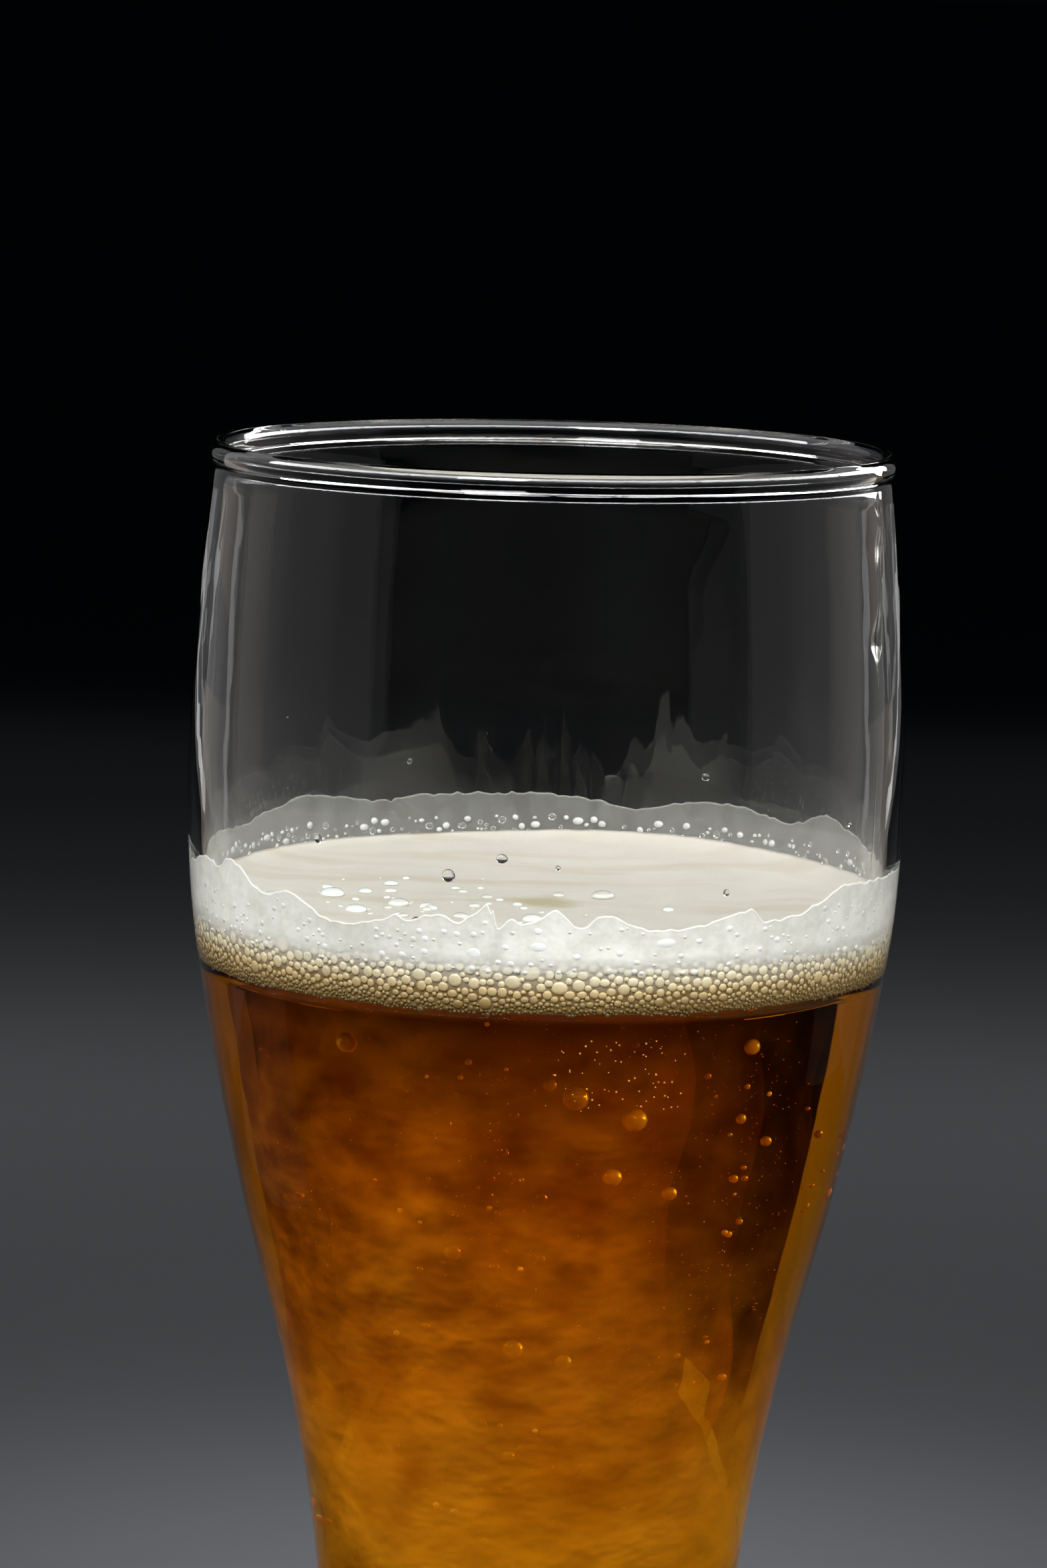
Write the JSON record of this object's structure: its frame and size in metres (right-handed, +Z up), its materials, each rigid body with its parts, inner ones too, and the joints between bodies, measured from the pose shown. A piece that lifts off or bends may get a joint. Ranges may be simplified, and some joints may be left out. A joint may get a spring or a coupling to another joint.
{
  "type": "glass of beer",
  "caption": "Tall flared wheat-beer glass with a beaded rim and a heavy foot, filled past the middle with amber beer under a thin head of foam.",
  "frame": {"origin": "middle of the foot's underside, on the surface that the glass stands on", "axes": "+Z up along the glass's axis; the picture looks along +Y, with +X to the right"},
  "size_m": [0.08, 0.08, 0.21],
  "materials": {
    "clear_glass": "clear polished soda-lime glass",
    "amber_beer": "clear amber beer with fine rising bubbles",
    "beer_foam": "fine cream-white beer foam"
  },
  "bodies": {
    "root": {"glass": "clear_glass", "beer": "amber_beer", "foam": "beer_foam"}
  },
  "joints": []
}
